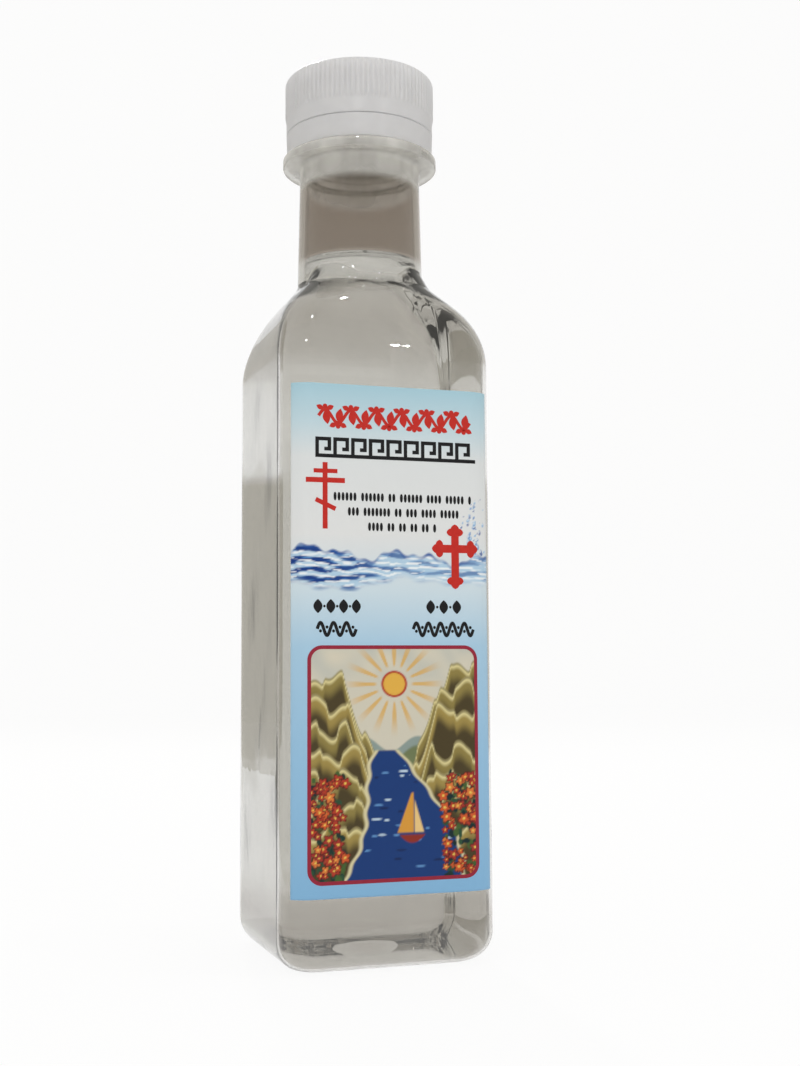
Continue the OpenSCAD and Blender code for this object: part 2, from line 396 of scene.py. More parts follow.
def vault_turn(sizes, inset):
    """Angle through which the shoulder's arc turns: until it lies well inside the neck."""
    half, rise = sizes.side / 2 - inset, sizes.arch - inset
    return np.arccos(1 - (half - sizes.neck_foot / 3) / rise)


def vault_top(sizes, inset):
    """Height at which the shoulder's arc ends."""
    return sizes.shoulder + (sizes.arch - inset) * np.sin(vault_turn(sizes, inset))


def body_rows(sizes, inset, up):
    """Rows (half width, corner radius, height) of the square body, from its foot ring to the shoulder's top.

    The bottom edge is a quarter circle, the sides are upright, and the shoulder is an arc of the arch radius
    that draws the square in towards the neck while its corners soften. Everything is drawn in by inset."""
    half, corner = sizes.side / 2 - inset, sizes.corner - inset
    edge, rise = sizes.foot_edge - inset, sizes.arch - inset
    sharp = sizes.foot_corner - inset
    dome = sizes.dome + inset
    share = np.linspace(0, 1, 7)[1:-1]
    ring = np.stack([dome + (half - edge - dome) * share, dome + (sharp - dome) * share,
                     0 * share + inset], -1)
    turn = np.linspace(0, QUARTER, 14)
    pulled = edge * (1 - np.sin(turn))
    foot = np.stack([half - pulled, corner - (corner - sharp) * pulled / edge,
                     inset + edge * (1 - np.cos(turn))], -1)
    level = np.linspace(inset + edge, sizes.shoulder, 66)[1:-1]
    sides = np.stack([0 * level + half, 0 * level + corner, level], -1)
    turn = np.linspace(0, vault_turn(sizes, inset), 56)
    drawn = rise * (1 - np.cos(turn))
    soft = np.minimum(corner + sizes.soften * drawn, 0.97 * (half - drawn))
    vault = np.stack([half - drawn, soft, sizes.shoulder + rise * np.sin(turn)], -1)
    rows = np.concatenate([ring, foot, sides, vault])
    return rows if up else rows[::-1]


def dome_rows(sizes, inset):
    """Rows (radius, height) of the ball-shaped hollow under the base, from near its middle outwards."""
    ball = (sizes.dome ** 2 + sizes.dome_height ** 2) / (2 * sizes.dome_height)
    reach = (sizes.dome + inset) * np.linspace(0.06, 1, 10)
    height = sizes.dome_height - ball + np.sqrt((ball + inset) ** 2 - reach ** 2)
    return np.stack([reach, np.maximum(height, inset)], -1)


def neck_outside(sizes, height):
    """Radius of the neck's outside: a straight draft from the shoulder's arc to under the ring."""
    left = sizes.arch - sizes.side / 2 + sizes.neck_foot
    foot = sizes.shoulder + np.sqrt(sizes.arch ** 2 - left ** 2)
    share = np.clip((height - foot) / (sizes.ring_z - foot), 0, 1)
    return sizes.neck_foot + (sizes.neck - sizes.neck_foot) * share


def neck_inside(sizes, height):
    """Radius of the neck's inside: one neck wall in, going over to the mouth's radius at the ring."""
    blown = neck_outside(sizes, height) - sizes.neck_wall
    return blown + (sizes.bore - blown) * smoothstep(sizes.ring_z - 4 * MM, sizes.ring_z + 1 * MM, height)


def body_radius(sizes, angles, rows, neck_radius):
    """Distance from the axis for rows of the body: the rounded square, filleted into the neck.

    The fillet is narrow over the sides and wide over the ridges, which run up into the neck."""
    square = rounded_square(angles[None, :], rows[:, :1], rows[:, 1:2])
    ridge = smoothstep(0.55, 1.0, np.abs(np.sin(2 * angles)))
    width = sizes.face_blend + (sizes.ridge_blend - sizes.face_blend) * ridge
    return smooth_max(square, neck_radius[:, None], width[None, :])


def neck_path(sizes):
    """Profile (radius, height) of the neck finish, from the top of the shoulder to the rim of the mouth."""
    foot = vault_top(sizes, 0)
    fillet = 1 * MM
    rim = 0.35 * MM
    top = sizes.ring_z + sizes.ring_thick
    lip = NECK_EDGE
    bead_mid = sizes.bead_z + sizes.bead_tall / 2
    draft = np.linspace(foot, sizes.ring_z - fillet, 30, endpoint=False)[1:]
    return np.concatenate([
        np.stack([neck_outside(sizes, draft), draft], -1),
        arc((sizes.neck + fillet, sizes.ring_z - fillet), fillet, np.pi, QUARTER, 7),
        line((sizes.neck + fillet, sizes.ring_z), (sizes.ring - rim, sizes.ring_z), 3),
        arc((sizes.ring - rim, sizes.ring_z + rim), rim, -QUARTER, 0, 6),
        line((sizes.ring, sizes.ring_z + rim), (sizes.ring, top - rim), 4),
        arc((sizes.ring - rim, top - rim), rim, 0, QUARTER, 6),
        line((sizes.ring - rim, top), (sizes.neck + lip, top), 3),
        arc((sizes.neck + lip, top + lip), lip, -QUARTER, -2 * QUARTER, 5),
        line((sizes.neck, top + lip), (sizes.neck, sizes.bead_z), 3),
        line((sizes.neck, sizes.bead_z), (sizes.bead - lip / 2, sizes.bead_z), 3),
        line((sizes.bead, sizes.bead_z + lip / 2), (sizes.bead, bead_mid), 3),
        line((sizes.bead, bead_mid), (sizes.neck, sizes.bead_z + sizes.bead_tall), 4),
        line((sizes.neck, sizes.bead_z + sizes.bead_tall), (sizes.neck, sizes.mouth - lip), 70),
        arc((sizes.neck - lip, sizes.mouth - lip), lip, 0, QUARTER, 6),
        line((sizes.neck - lip, sizes.mouth), (sizes.bore + lip, sizes.mouth), 3),
        arc((sizes.bore + lip, sizes.mouth - lip), lip, QUARTER, 2 * QUARTER, 6),
    ])


def bottle_surface(sizes, thread, angles):
    """Radius and height of the whole wall: from the base's middle up outside, over the mouth, down inside."""
    dome, body = dome_rows(sizes, 0), body_rows(sizes, 0, True)
    neck = neck_path(sizes)
    above = np.where(body[:, 2] > sizes.shoulder, neck_outside(sizes, body[:, 2]), 0)
    relief = thread_relief(angles, neck[:, 1], thread, thread.start)
    relief[neck[:, 0] < sizes.neck - 1e-6] = 0
    bore = np.linspace(sizes.mouth - NECK_EDGE, vault_top(sizes, sizes.wall), 47)[:-1]
    inner = body_rows(sizes, sizes.wall, False)
    under = np.where(inner[:, 2] > sizes.shoulder, neck_inside(sizes, inner[:, 2]), 0)
    inner_radius = body_radius(sizes, angles, inner, under)
    inner_dome = dome_rows(sizes, sizes.wall)[::-1]
    ripple = wall_ripple(angles, inner[:, 2], sizes)
    ones = np.ones((1, len(angles)))
    radius = np.concatenate([
        dome[:, :1] * ones, body_radius(sizes, angles, body, above), neck[:, :1] * ones + relief,
        neck_inside(sizes, bore)[:, None] * ones, inner_radius - ripple, inner_dome[:, :1] * ones])
    height = np.concatenate([dome[:, 1], body[:, 2], neck[:, 1], bore, inner[:, 2], inner_dome[:, 1]])
    return radius, height


def wall_ripple(angles, heights, sizes):
    """Uneven thickness that blowing leaves in the wall: slow waves round and up the sides, in metres."""
    deep = 0.05 * MM
    below = 1 - smoothstep(sizes.shoulder - 6 * MM, sizes.shoulder + 4 * MM, heights)
    on_sides = smoothstep(8 * MM, 20 * MM, heights) * below
    up = heights[:, None] / MM
    waves = (np.sin(5 * angles + 0.11 * up) + np.sin(7 * angles - 0.17 * up + 1.3)
             + np.sin(0.23 * up + 2 * angles))
    return deep * (1 + waves / 3) * on_sides[:, None]


def water_surface(sizes, angles, level, gap):
    """Radius and height of the filling: the bottle's inside drawn in by a small gap, with a level top.

    At the wall the water climbs in a meniscus, MENISCUS exp(-distance / MENISCUS_REACH) high."""
    inset = sizes.wall + gap
    body = body_rows(sizes, inset, True)
    dome = dome_rows(sizes, inset)
    above = np.where(body[:, 2] > sizes.shoulder, neck_inside(sizes, body[:, 2]) - gap, 0)
    top = vault_top(sizes, inset)
    column = np.linspace(top, level + MENISCUS, 10)[1:]
    share = np.linspace(0, 1, 26)[1:] ** 2
    ones = np.ones((1, len(angles)))
    rim = neck_inside(sizes, level) - gap
    surface = rim * (1 - 0.97 * share)
    meniscus = level + MENISCUS * np.exp(-(rim - surface) / MENISCUS_REACH)
    ripple = wall_ripple(angles, body[:, 2], sizes)
    radius = np.concatenate([
        dome[:, :1] * ones, body_radius(sizes, angles, body, above) - ripple,
        (neck_inside(sizes, column) - gap)[:, None] * ones, surface[:, None] * ones])
    return radius, np.concatenate([dome[:, 1], body[:, 2], column, meniscus])


def let_light_through(tree, shader, tint):
    """Lets lamp light and light from matt pieces pass a clear shader straight, to light what is inside."""
    ray = add_node(tree, "ShaderNodeLightPath").outputs
    passing = maths(tree, "MAXIMUM", ray["Is Shadow Ray"], ray["Is Diffuse Ray"])
    straight = add_node(tree, "ShaderNodeBsdfTransparent", {"Color": opaque(tint)})
    return mix_shaders(tree, passing, shader, straight.outputs["BSDF"])


# Painted shade up the PET as (height in mm, share of the neck colour): darker at foot, shoulder and empty
# neck, standing in for the shadow under the bottle and for dark surroundings seen in the plastic
PET_PAINTED_SHADE = ((0, 0.15), (5, 0.2), (9, 0.6), (16, 0.0), (116, 0.0), (128, 0.35), (137, 0.2), (140, 0.0),
            (143.6, 0.0), (144.6, 1.1), (159.8, 1.2), (160.8, 0.0))
# Haze up the PET as (height in mm, share): the foot, and the neck finish, which is moulded and not blown
PET_HAZE = ((0, 0.06), (6, 0.06), (11, 0.0), (159.8, 0.0), (160.8, 0.25), (166, 0.45))


def clear_pet():
    """Blow-moulded PET: glossy and clear, with flow marks in its skin and hazy ends. Its warm grey tint is
    partly painted shade, and the deeper tint at foot, shoulder and empty neck is painted shade.
    """
    material, tree, surface = new_material("clear blow-moulded PET")
    place = object_place(tree)
    # Flow marks about 6 mm apart, stretched up the bottle as the blown wall is
    marks = add_node(tree, "ShaderNodeMapping", {"Scale": (1, 1, 0.35)}, {"Vector": place})
    flow = noise(tree, marks.outputs["Vector"], 6 * MM)
    skin = bump(tree, flow, 0.18, 0.15 * MM)
    finishes = bpy.context.scene.bottle_finishes
    thin, thick = np.array(finishes.pet), np.array(finishes.neck)
    # The neck colour lays painted shade over the PET's tint at the heights listed in the table above
    deeper = thick - thin
    tint = by_height(tree, place, [(level, opaque(thin + share * deeper)) for level, share in PET_PAINTED_SHADE])
    clear = principled(tree, {"Roughness": 0.015, "IOR": 1.575, "Transmission Weight": 1.0},
                       {"Base Color": tint, "Normal": skin})
    milk = by_height(tree, place, [(level, opaque((share,) * 3)) for level, share in PET_HAZE])
    # The flow marks put streaks in the haze. They are about a half on average, so they are doubled.
    haze = maths(tree, "MULTIPLY", maths(tree, "MULTIPLY", milk, flow), 2.0, clamp=True)
    cloud = add_node(tree, "ShaderNodeBsdfDiffuse", {"Color": opaque(thin)}, {"Normal": skin})
    both = mix_shaders(tree, haze, clear, cloud.outputs["BSDF"])
    tree.links.new(let_light_through(tree, both, thin), surface)
    return material


def still_water():
    """Still water: clear, with a light tint that is partly painted shade, darkening what shows through it.
    Faint ripples on its surface, about 12 mm long.
    """
    material, tree, surface = new_material("still water")
    ripples = bump(tree, noise(tree, object_place(tree), 12 * MM), 0.05, 0.1 * MM)
    tint = bpy.context.scene.bottle_finishes.water
    shader = principled(tree, {"Base Color": opaque(tint), "Roughness": 0.0, "IOR": 1.333,
                               "Transmission Weight": 1.0}, {"Normal": ripples})
    tree.links.new(let_light_through(tree, shader, tint), surface)
    return material


def natural_polypropylene():
    """Injection-moulded natural polypropylene: milky, light scatters in it, satin skin with mould grain."""
    material, tree, surface = new_material("natural injection-moulded polypropylene")
    place = object_place(tree)
    base = np.array(bpy.context.scene.bottle_finishes.cap)
    # Cloudiness of the melt, about 5 mm across, and mould grain of 0.25 mm
    tint = ramp(tree, noise(tree, place, 5 * MM, 3.0),
                [(0, opaque(base * 0.93)), (1, opaque(np.minimum(base * 1.05, 1)))])
    grain = bump(tree, noise(tree, place, 0.25 * MM), 0.1, 0.02 * MM)
    shader = principled(tree, {"Roughness": 0.28, "IOR": 1.49, "Subsurface Weight": 0.45,
                               "Subsurface Radius": (1.0, 0.97, 0.92), "Subsurface Scale": 2.2 * MM},
                        {"Base Color": tint, "Normal": grain})
    # Light that comes through the thin moulding from the far side
    glow = add_node(tree, "ShaderNodeBsdfTranslucent", links={"Color": tint})
    tree.links.new(mix_shaders(tree, 0.4, shader, glow.outputs["BSDF"]), surface)
    return material


def liner_foam():
    """Pressed polyethylene foam: matt white with fine closed cells of 0.3 mm."""
    material, tree, surface = new_material("pressed polyethylene foam")
    cells = add_node(tree, "ShaderNodeTexVoronoi", {"Scale": 1 / (0.3 * MM)}, {"Vector": object_place(tree)})
    skin = bump(tree, cells.outputs["Distance"], 0.25, 0.05 * MM)
    tint = opaque(bpy.context.scene.bottle_finishes.liner)
    tree.links.new(principled(tree, {"Base Color": tint, "Roughness": 0.7}, {"Normal": skin}), surface)
    return material


def label_paper():
    """Uncoated back of a self-adhesive paper: matt white with a fibre cloud of 0.8 mm."""
    material, tree, surface = new_material("self-adhesive label paper")
    base = np.array(bpy.context.scene.bottle_finishes.paper)
    fibres = ramp(tree, noise(tree, object_place(tree), 0.8 * MM, 4.0),
                  [(0, opaque(base * 0.94)), (1, opaque(base))])
    tree.links.new(principled(tree, {"Roughness": 0.75}, {"Base Color": fibres}), surface)
    return material


def printed_label():
    """Offset print on coated paper under a satin varnish with an orange peel of 1.5 mm.

    The ink's colours are painted on the points."""
    material, tree, surface = new_material("offset print under satin varnish")
    ink = add_node(tree, "ShaderNodeAttribute", attribute_name="print")
    peel = bump(tree, noise(tree, object_place(tree), 1.5 * MM), 0.06, 0.02 * MM)
    shader = principled(tree, {"Roughness": 0.4, "IOR": 1.46, "Specular IOR Level": 0.25},
                        {"Base Color": ink.outputs["Color"], "Normal": peel})
    tree.links.new(shader, surface)
    return material


def spot_ink(name, rgb):
    """A solid printing ink under the same varnish, with a mottle of 0.7 mm where the paper took less."""
    material, tree, surface = new_material(name)
    base = np.array(rgb)
    mottle = ramp(tree, noise(tree, object_place(tree), 0.7 * MM, 3.0),
                  [(0, opaque(base * 0.9)), (1, opaque(np.minimum(base * 1.08 + 0.01, 1)))])
    shader = principled(tree, {"Roughness": 0.4, "IOR": 1.46, "Specular IOR Level": 0.2},
                        {"Base Color": mottle})
    tree.links.new(shader, surface)
    return material


def label_wrap(sizes, across, height, off):
    """Points on the front of the bottle: across is measured on the surface from the middle of the front.

    On the flat it is x. Past it, the corner turns by (across - flat) / corner radius. off lies outwards."""
    flat = sizes.side / 2 - sizes.corner
    past = np.maximum(np.abs(across) - flat, 0) / sizes.corner
    reach = sizes.corner + off
    x = np.sign(across) * (np.minimum(np.abs(across), flat) + reach * np.sin(past))
    y = -flat - reach * np.cos(past)
    return np.stack(np.broadcast_arrays(x, y, height), -1)


def label_ends(sizes, label):
    """The label's left and right edges, measured on the surface from the middle of the front."""
    flat = sizes.side / 2 - sizes.corner
    reach = sizes.corner + label.glue + label.paper
    edge = np.array([LABEL_LOW.x, LABEL_HIGH.x])
    turn = np.arcsin(np.clip((np.abs(edge) - flat) / reach, 0, 1))
    return np.sign(edge) * (np.minimum(np.abs(edge), flat) + turn * sizes.corner)


# Lower left and upper right corner of the picture and the radius of its corners, in millimetres on the label:
# across from the middle of the front, and up from the floor
PICTURE_LOW, PICTURE_HIGH, PICTURE_CORNER = (-17.05, 17.4), (17.05, 62.0), 2.5


def mix(picture, hexes, mask):
    """Lays a colour over a picture (n, 3) where the mask (n) says."""
    return picture + (np.array(linear(hexes)[:3]) - picture) * mask[:, None]


def disc(x, y, centre, radius, soft):
    """Mask of a round or oval spot with a soft edge."""
    radius = np.broadcast_to(radius, 2)
    off = np.hypot((x - centre[0]) / radius[0], (y - centre[1]) / radius[1])
    return 1 - smoothstep(1 - soft, 1 + soft, off)


def within(low, high, value, soft=0.005):
    """Mask of the values between low and high, with soft edges."""
    return smoothstep(low - soft, low + soft, value) * (1 - smoothstep(high - soft, high + soft, value))


def paint_ground(z):
    """Label ground by height in millimetres: pale blue, near white in the middle, deeper blue at the foot."""
    stops = np.array([14.5, 40, 62, 73, 84, 99, 106, 113.5])
    hexes = "#86B8DF", "#97C3E4", "#A9CDE6", "#CFE0EA", "#E3E5E6", "#DFE3E5", "#C3DAE4", "#A9CEDD"
    tints = np.array([linear(tint)[:3] for tint in hexes])
    return np.stack([np.interp(z, stops, tints[:, k]) for k in range(3)], -1)


def streaks(x, z, count, seed):
    """A field of long wavy streaks between 0 and 1: a sum of sines that run mostly upwards, bent along x."""
    draw = np.random.default_rng(seed)
    field = np.zeros_like(x)
    for _ in range(count):
        along, up = draw.uniform(-0.55, 0.55), draw.uniform(1.6, 4.6)
        phase, bend = draw.uniform(0, TURN), draw.uniform(0.2, 0.6)
        field += np.sin(along * x + up * (z + 0.6 * np.sin(bend * x + phase)) + 2 * phase)
    return 0.5 + 0.5 * field / np.sqrt(count)


def paint_splash(picture, x, z):
    """A band of running water: wavy blue streaks, darkest on the left, with drops thrown up on the right."""
    left = 1 - smoothstep(-16, 8, x)
    crest = (79.6 + left + 0.9 * np.sin(0.33 * x + 0.6) + 0.6 * np.sin(0.71 * x + 2.0)
             + 0.3 * np.sin(1.9 * x))
    foot = 75.4 - 1.3 * left + 0.7 * np.sin(0.27 * x + 1.0) + 0.4 * np.sin(0.9 * x)
    inside = smoothstep(foot - 1.2, foot + 1.0, z) * (1 - smoothstep(crest - 0.5, crest + 0.3, z))
    broad, fine = streaks(x, z, 7, 11), streaks(1.7 * x, 1.9 * z, 7, 23)
    picture = mix(picture, "#A9CDE8", 0.8 * inside)
    picture = mix(picture, "#3F82C4", inside * smoothstep(0.45, 0.75, broad) * (0.45 + 0.5 * left))
    deep = smoothstep(0.55, 0.85, 0.6 * broad + 0.4 * fine + 0.22 * left)
    picture = mix(picture, "#123C86", inside * deep * (0.45 + 0.55 * left))
    picture = mix(picture, "#F4F9FC", inside * smoothstep(0.62, 0.95, fine - 0.35 * (broad - 0.5)) * 0.9)
    rim = smoothstep(crest - 0.8, crest - 0.35, z) * (1 - smoothstep(crest - 0.1, crest + 0.3, z))
    picture = mix(picture, "#1D4F9C", 0.8 * rim * (0.25 + 0.75 * np.sin(0.5 * x + 1.0) ** 2))
    drops = np.random.default_rng(7)
    for _ in range(60):
        centre = (drops.normal(17.2, 1.7), drops.uniform(80.5, 92.0))
        size = drops.uniform(0.12, 0.5) * (1.3 - (centre[1] - 80) / 14)
        blue = drops.choice(("#3F82C4", "#1D4F9C", "#77AEDB"))
        picture = mix(picture, blue, 0.85 * disc(x, z, centre, (0.7 * size, size), 0.3))
        shine = (centre[0] - 0.2 * size, centre[1] + 0.3 * size)
        picture = mix(picture, "#EAF4FA", 0.9 * disc(x, z, shine, 0.4 * size, 0.5))
    return picture


def paint_crags(scene, p, q, side):
    """Stacked ledges of rock on one side: each has a broken outline, a lit edge and shade below."""
    draw = np.random.default_rng(31 + side)
    inward = p if side == 0 else 1 - p
    for level in range(7):
        top = 0.86 - 0.105 * level + 0.07 * side * (level < 3)
        reach = 0.17 + 0.035 * level + draw.uniform(-0.04, 0.04)
        edge = top - 2 * np.clip(inward - reach, 0, None)
        edge = edge + 0.02 * np.sin(38 * inward + draw.uniform(0, 6))
        edge = edge + 0.022 * np.tanh(5 * np.sin(27 * inward + draw.uniform(0, 6)))
        rock = 1 - smoothstep(edge - 0.01, edge + 0.01, q)
        rock = rock * (1 - smoothstep(reach + 0.23, reach + 0.245, inward))
        scene = mix(scene, draw.choice(("#8F8046", "#A08C4C", "#7C7A52")), rock)
        scene = mix(scene, "#4A3F24", rock * smoothstep(0.035, 0.1, edge - q))
        scene = mix(scene, "#E0D49A", rock * (1 - smoothstep(0.008, 0.032, edge - q)))
        scene = mix(scene, "#2B2415", 0.8 * rock * (1 - smoothstep(0.0, 0.012, edge - q)))
    return scene


def paint_valley(picture, x, z, low, high):
    """A river valley in the frame: pale sky with a sun, ledges of rock, a river with a boat, and shrubs."""
    p = (x - low[0]) / (high[0] - low[0])
    q = (z - low[1]) / (high[1] - low[1])
    middle, reach = np.add(low, high) / 2, np.subtract(high, low) / 2 - PICTURE_CORNER
    past = np.hypot(np.maximum(np.abs(x - middle[0]) - reach[0], 0),
                    np.maximum(np.abs(z - middle[1]) - reach[1], 0))
    inside = (past < PICTURE_CORNER).astype(float)
    scene = mix(np.zeros_like(picture), "#D2CDBC", np.ones_like(p))
    scene = mix(scene, "#BFC1B8", smoothstep(0.75, 1.0, q) * streaks(30 * p, 9 * q, 5, 4))
    turn = np.arctan2(q - 0.84, (p - 0.5) * 0.74)
    away = np.hypot(q - 0.84, (p - 0.5) * 0.74)
    rays = smoothstep(0.2, 0.75, np.cos(16 * turn))
    rays = rays * smoothstep(0.07, 0.09, away) * (1 - smoothstep(0.12, 0.24, away))
    scene = mix(scene, "#D9A94C", 0.8 * rays)
    scene = mix(scene, "#B2432C", 1 - smoothstep(0.055, 0.06, away))
    scene = mix(scene, "#E3B14A", 1 - smoothstep(0.045, 0.05, away))
    far = 0.6 + 0.03 * np.sin(9 * p + 0.4) + 0.02 * np.sin(23 * p)
    scene = mix(scene, "#8C9C97", 1 - smoothstep(far - 0.006, far + 0.006, q))
    scene = mix(scene, "#6F7A55", 1 - smoothstep(far - 0.05, far - 0.03, q))
    for side in (0, 1):
        scene = paint_crags(scene, p, q, side)
    bend = 0.52 + 0.07 * np.sin(7 * q + 0.5)
    width = 0.05 + 0.3 * (1 - np.clip(q / 0.56, 0, 1)) ** 0.8
    off = np.abs(p - bend) + 0.008 * np.sin(60 * q)
    below = 1 - smoothstep(0.55, 0.56, q)
    scene = mix(scene, "#D8CFA6", (1 - smoothstep(width + 0.012, width + 0.03, off)) * below)
    scene = mix(scene, "#143A78", (1 - smoothstep(width - 0.008, width + 0.008, off)) * below)
    draw = np.random.default_rng(3)
    for _ in range(46):
        centre = (draw.uniform(0.2, 0.84), draw.uniform(0.03, 0.5))
        ripple = disc(p, q, centre, (draw.uniform(0.012, 0.035), 0.005), 0.4) * (off < width - 0.02) * below
        scene = mix(scene, draw.choice(("#BFD4E6", "#5E90C8", "#0B2453")), 0.9 * ripple)
    scene = mix(scene, "#D99A3C", within(0.2, 0.37, q) * within(0.6 - 0.5 * (0.37 - q), 0.612, p))
    scene = mix(scene, "#EBC886", within(0.2, 0.34, q) * within(0.618, 0.618 + 0.4 * (0.34 - q), p))
    scene = mix(scene, "#8E2F22", within(0.155 + 6 * (p - 0.605) ** 2, 0.19, q))
    for _ in range(150):
        side = draw.choice((-1, 1))
        centre = (0.5 + side * draw.uniform(0.3, 0.5), draw.uniform(0.0, 0.45))
        green = draw.choice(("#17342C", "#2B4F36", "#0F2A2C", "#44602F"))
        scene = mix(scene, green, disc(p, q, centre, draw.uniform(0.01, 0.024, 2), 0.2))
    for _ in range(110):
        side = draw.choice((-1, 1))
        centre = (0.5 + side * draw.uniform(0.29, 0.49), draw.uniform(0.02, 0.44))
        size = draw.uniform(0.014, 0.03)
        petals = 1 + 0.25 * np.cos(5 * np.arctan2((q - centre[1]) * 1.36, p - centre[0]) + draw.uniform(0, 6))
        bloom = np.hypot(p - centre[0], (q - centre[1]) * 1.36) / (size * petals)
        scene = mix(scene, "#5A1A17", 1 - smoothstep(1.0, 1.25, bloom))
        red = draw.choice(("#CE5A2B", "#B23A26", "#D9783A", "#A33529"))
        scene = mix(scene, red, 1 - smoothstep(0.8, 1.0, bloom))
        scene = mix(scene, "#E9C65A", 1 - smoothstep(0.2, 0.35, bloom))
    return picture + (scene - picture) * inside[:, None]


def paint_label(x, z):
    """Colour of the whole print at points in millimetres."""
    picture = paint_ground(z)
    picture = paint_splash(picture, x, z)
    picture = paint_valley(picture, x, z, PICTURE_LOW, PICTURE_HIGH)
    return np.clip(picture, 0, 1)


def ribbons(sizes, name, strips, material, off, thick):
    """One mesh of flat raised strips on the label.

    Each strip is (middle line (n, 2), half width (n)) in millimetres. Its section is a flat box whose top is
    divided across, so that it follows the bottle's corner. The section is carried along the middle line,
    square to it, and its two ends are closed. Strips that cross lie one above the other."""
    share = np.concatenate([[-1], np.linspace(-1, 1, 7), [1]])
    raised = np.concatenate([[0], np.ones(7), [0]])
    columns = len(share)
    fan = np.stack([np.zeros(columns - 2, int), np.arange(1, columns - 1), np.arange(2, columns)], -1)
    points, quads, triangles, count = [], [], [], 0
    for layer, (path, half) in enumerate(strips):
        level = off + thick * (1 + 0.9 * (layer % 24) / 24) * raised
        path = np.asarray(path, float)
        ahead = np.gradient(path, axis=0)
        ahead /= np.maximum(np.linalg.norm(ahead, axis=1, keepdims=True), 1e-9)
        across = np.stack([-ahead[:, 1], ahead[:, 0]], -1) * np.broadcast_to(half, len(path))[:, None]
        section = (path[:, None, :] + across[:, None, :] * share[None, :, None]) * MM
        points.append(label_wrap(sizes, section[..., 0], section[..., 1], level[None, :]).reshape(-1, 3))
        quads.append(grid_quads(len(path), columns, loop_columns=True) + count)
        triangles += [fan[:, ::-1] + count, fan + count + columns * (len(path) - 1)]
        count += columns * len(path)
    return mesh_object(name, np.concatenate(points), np.concatenate(quads), np.concatenate(triangles),
                       material, smooth=False)


def bar(start, stop, half, steps=12):
    """A straight strip."""
    return np.linspace(start, stop, steps), np.full(steps, half)


def petal(start, stop, half, power=1.0, steps=15):
    """A strip that swells from a point to its full width and back: half times sin(pi t) to a power."""
    share = np.linspace(0, 1, steps)
    return np.linspace(start, stop, steps), half * np.sin(np.pi * share) ** power + 0.01


def three_bar_cross():
    """The upright, title bar, main bar and slanted foot bar of the cross on the left."""
    return [bar((-13.9, 84.9), (-13.9, 97.9), 0.5), bar((-16.2, 96.2), (-11.4, 96.2), 0.42),
            bar((-17.7, 94.4), (-9.9, 94.4), 0.5), bar((-15.8, 90.6), (-11.8, 88.8), 0.45)]


def budded_cross():
    """The cross on the right, whose four arms each end in three buds."""
    middle = np.array((12.9, 81.5))
    strips = []
    for step, reach in (((1, 0), 4.9), ((-1, 0), 4.9), ((0, 1), 4.9), ((0, -1), 8.0)):
        step = np.array(step)
        side = np.array((-step[1], step[0]))
        tip = middle + step * reach
        strips.append(bar(middle - step * 0.4, tip - step * 1.6, 0.8))
        strips.append(petal(tip - step * 2.6, tip, 1.0, 0.6))
        for way in (-1, 1):
            strips.append(petal(tip - step * 1.6, tip - step * 1.6 + side * way * 1.75, 0.75, 0.6))
    return strips


def vine_row(low, high, level):
    """A red vine: a sine stem with a leaf on the outside of each bend."""
    x = np.linspace(low, high, 160)
    wave = (high - low) / 6
    stem = level + 1.3 * np.sin(TURN * (x - low) / wave)
    strips = [(np.stack([x, stem], -1), np.full(len(x), 0.32))]
    for k in range(12):
        middle = low + (k + 0.5) * wave / 2
        way = 1 if k % 2 == 0 else -1
        root = np.array((middle, level + 1.3 * way))
        strips.append(petal(root - (0.0, 0.1 * way), root + (0.55, -2.9 * way), 0.75))
        strips.append(petal(root + (0.3, 0.1 * way), root + (1.75, 0.75 * way), 0.5))
        strips.append(petal(root + (-0.3, 0.1 * way), root + (-1.75, 0.75 * way), 0.5))
        strips.append(petal(root + (-0.5, 0.62 * way), root + (0.5, 0.62 * way), 0.5, 0.5))
    return strips


def key_row(low, high, foot, tall, count):
    """A bold meander of square hooks."""
    step = (high - low) / count
    half = 0.36
    strips = []
    for k in range(count):
        x = low + k * step
        right, inner, top, hook = x + step - 1.15, x + 1.45, foot + tall, foot + 1.35
        strips += [bar((x, foot), (x, top), half), bar((x - half, top), (right + half, top), half),
                   bar((right, top), (right, hook), half), bar((right + half, hook), (inner, hook), half),
                   bar((x - half, foot), (x + step + half, foot), half)]
    return strips


def bead_rows(rows, seed):
    """Rows of upright beads in groups of uneven length. Each row is (low, high, level, half height)."""
    draw = np.random.default_rng(seed)
    strips = []
    for low, high, level, half in rows:
        x = low
        while x < high:
            for _ in range(draw.integers(2, 8)):
                if x < high:
                    strips.append(petal((x, level - half), (x, level + half), 0.34 * half, 0.4))
                x += 0.95 * half
            x += 0.9 * half
    return strips


def wave_row(low, high, level, half, count):
    """A running sine line with a dot in each hollow."""
    share = np.linspace(0, 1, 24 * count)
    wave = np.stack([low + (high - low) * share, level + half * np.sin(TURN * count * share)], -1)
    hollow = low + (high - low) * (np.arange(2 * count) + 0.5) / (2 * count)
    dots = [petal((c - 0.3, level - way * 0.3 * half), (c + 0.3, level - way * 0.3 * half), 0.3, 0.5)
            for c, way in zip(hollow, (1, -1) * count)]
    return [(wave, np.full(len(share), 0.32))] + dots


def lozenge_row(low, high, level, half, count):
    """A row of pointed lozenges with a dot between each pair."""
    centre = np.linspace(low + half, high - half, count)
    gap = (centre[1] - centre[0]) / 2
    strips = [petal((c, level - 1.3 * half), (c, level + 1.3 * half), half * 0.85, 0.9) for c in centre]
    return strips + [petal((c + gap - 0.25, level), (c + gap + 0.25, level), 0.25, 0.5) for c in centre[:-1]]


